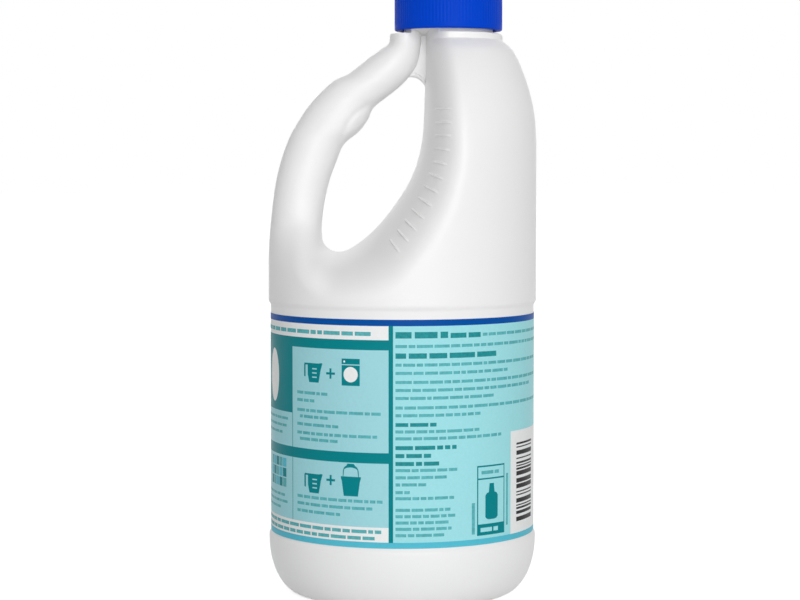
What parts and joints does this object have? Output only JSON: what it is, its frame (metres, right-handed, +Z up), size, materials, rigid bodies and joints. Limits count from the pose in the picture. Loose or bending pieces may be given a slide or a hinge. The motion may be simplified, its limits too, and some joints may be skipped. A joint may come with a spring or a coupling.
{
  "type": "bleach bottle",
  "caption": "Round blow-moulded household bottle with a hollow side handle, an offset neck, a ribbed screw cap and a wrap-round label.",
  "frame": {"origin": "centre of the base on the round body's axis, on the surface that the bottle stands on", "axes": "+Z up the bottle, +X towards the pouring side and the neck, -X towards the handle"},
  "size_m": [0.1062, 0.1062, 0.2489],
  "materials": {
    "bottle_body": "satin white polyethylene",
    "cap": "satin blue polypropylene",
    "cap_liner": "foamed liner disc",
    "label_wrap": "printed film"
  },
  "bodies": {
    "bottle": {"bottle_body": "bottle_body", "label_wrap": "label_wrap"},
    "liner": {"cap_liner": "cap_liner"},
    "cap": {"cap": "cap"}
  },
  "joints": [
    {"name": "cap_rise", "type": "slide", "parent": "bottle", "child": "liner", "axis": [0, 0, 1], "range_m": [0, 0.0276]},
    {"name": "cap_turn", "type": "hinge", "parent": "liner", "child": "cap", "pos_m": [0.0182, 0, 0.23], "axis": [0, 0, 1], "range_deg": [0, 2340]}
  ],
  "couplings": [
    {"joint": "cap_rise", "follows": "cap_turn", "m_per_rad": 0.00067376}
  ]
}
